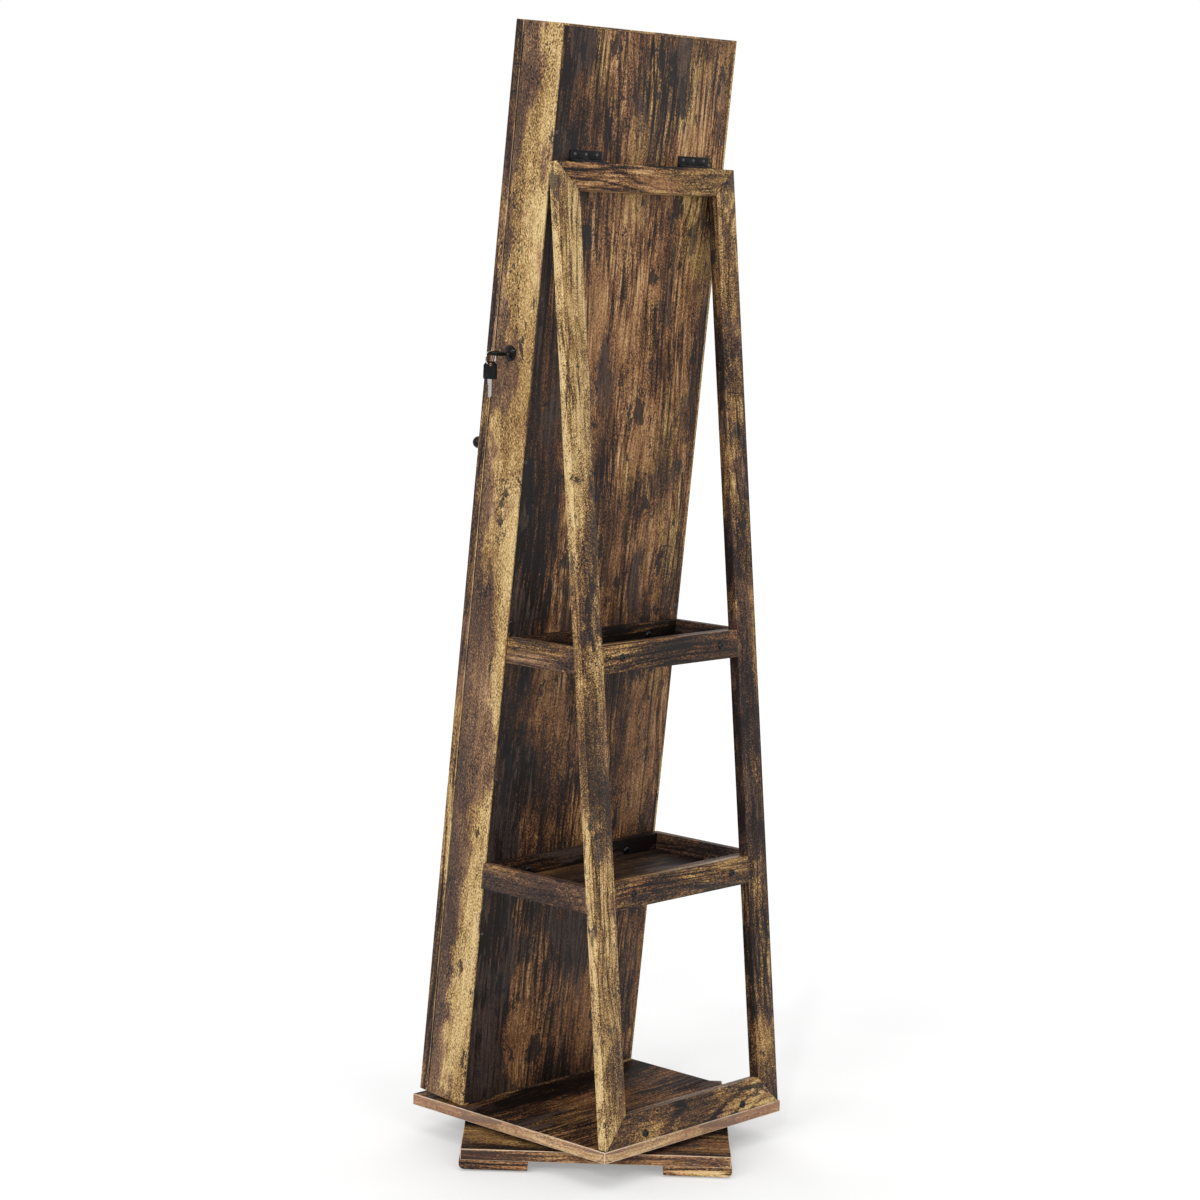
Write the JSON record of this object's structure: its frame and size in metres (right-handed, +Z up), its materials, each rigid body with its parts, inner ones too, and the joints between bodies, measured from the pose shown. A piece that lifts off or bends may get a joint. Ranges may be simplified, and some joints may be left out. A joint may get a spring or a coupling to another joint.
{
  "type": "rotating jewelry armoire",
  "caption": "Tall leaning mirrored jewelry cabinet in rustic wood with a rear A-frame, open trays and a keyed side lock, turning on a square base.",
  "frame": {"origin": "centre of the square base on the floor, on the axis that the platform turns about", "axes": "+Z up, -Y towards the mirror door, +Y towards the rear support frame, +X towards the side with the lock"},
  "size_m": [0.534, 0.534, 1.5751],
  "materials": {
    "side_wood": "rustic brown woodgrain, satin",
    "frame_wood": "rustic brown woodgrain, satin",
    "back_wood": "dark rustic woodgrain, satin",
    "platform_wood": "dark rustic woodgrain, satin",
    "dark_wood": "rustic brown woodgrain, satin",
    "tray_floor_wood": "rustic brown woodgrain, satin",
    "inner_wood": "dark woodgrain, matt",
    "foot_rubber": "matt black",
    "bearing_steel": "zinc plated",
    "ball_steel": "polished",
    "black_metal": "satin black",
    "lining_fabric": "black velvet",
    "pad_fabric": "black velvet",
    "brass_rods": "satin",
    "mirror": "silvered, polished",
    "key_plastic": "black",
    "key_steel": "nickel plated"
  },
  "bodies": {
    "base": {"base_board": "side_wood", "foot_blocks": "dark_wood", "foot_pads": "foot_rubber", "turntable_lower_plate": "bearing_steel", "turntable_balls": "ball_steel", "lower_plate_screws": "bearing_steel"},
    "carousel": {"turntable_upper_plate": "bearing_steel", "platform_board": "platform_wood", "platform_screws": "bearing_steel", "wedge_blocks": "inner_wood", "frame_cleat": "platform_wood", "lock_side_panel": "side_wood", "hinge_side_panel": "side_wood", "top_panel": "side_wood", "bottom_panel": "side_wood", "back_panel": "back_wood", "cabinet_screws": "black_metal", "lining_panel": "lining_fabric", "inner_shelves": "inner_wood", "inner_rods": "brass_rods", "ring_pad": "pad_fabric", "earring_bars": "brass_rods", "necklace_bar": "inner_wood", "necklace_hooks": "brass_rods", "frame_lock_side_leg": "frame_wood", "frame_hinge_side_leg": "frame_wood", "frame_top_bar": "frame_wood", "frame_bottom_bar": "frame_wood", "frame_upper_rail": "frame_wood", "frame_lower_rail": "frame_wood", "frame_hinge_cabinet_leaves": "black_metal", "frame_hinge_frame_leaves": "black_metal", "hinge_pins": "black_metal", "upper_tray_floor": "tray_floor_wood", "upper_tray_side_rails": "frame_wood", "upper_tray_back_rail": "frame_wood", "upper_tray_front_rail": "frame_wood", "lower_tray_floor": "tray_floor_wood", "lower_tray_side_rails": "frame_wood", "lower_tray_back_rail": "frame_wood", "lower_tray_front_rail": "frame_wood", "connecting_bolts": "black_metal", "door_hinge_case_leaves": "black_metal", "lock_body": "black_metal"},
    "door": {"door_lock_stile": "side_wood", "door_hinge_stile": "side_wood", "door_top_rail": "side_wood", "door_bottom_rail": "side_wood", "mirror_board": "inner_wood", "mirror_glass": "mirror", "door_knob": "black_metal", "door_hinge_door_leaves": "black_metal", "lock_strike": "bearing_steel"},
    "lock": {"lock_plug": "bearing_steel", "lock_cam": "bearing_steel", "key_head": "key_plastic", "key_blade": "key_steel"},
    "key_ring": {"key_ring": "key_steel"},
    "spare_key": {"spare_key_head": "key_plastic", "spare_key_blade": "key_steel"}
  },
  "joints": [
    {"name": "turntable_spin", "type": "hinge", "parent": "base", "child": "carousel", "pos_m": [0, 0, 0.0352], "axis": [0, 0, 1], "continuous": true},
    {"name": "door_hinge", "type": "hinge", "parent": "carousel", "child": "door", "pos_m": [-0.1818, -0.16706, 0.06186], "axis": [0, -0.0898, -0.996], "range_deg": [0, 110]},
    {"name": "lock_turn", "type": "hinge", "parent": "carousel", "child": "lock", "pos_m": [0, -0.04059, 1.1253], "axis": [-1, 0, 0], "range_deg": [0, 90]},
    {"name": "ring_swing", "type": "hinge", "parent": "lock", "child": "key_ring", "pos_m": [0.21725, -0.04059, 1.1253], "axis": [-1, 0, 0], "range_deg": [-40, 0]},
    {"name": "spare_key_swing", "type": "hinge", "parent": "key_ring", "child": "spare_key", "pos_m": [0.21725, -0.04059, 1.1099], "axis": [-1, 0, 0], "range_deg": [-50, 0]}
  ],
  "couplings": [
    {"joint": "ring_swing", "follows": "lock_turn", "ratio": -0.44444},
    {"joint": "spare_key_swing", "follows": "lock_turn", "ratio": -0.55556}
  ]
}
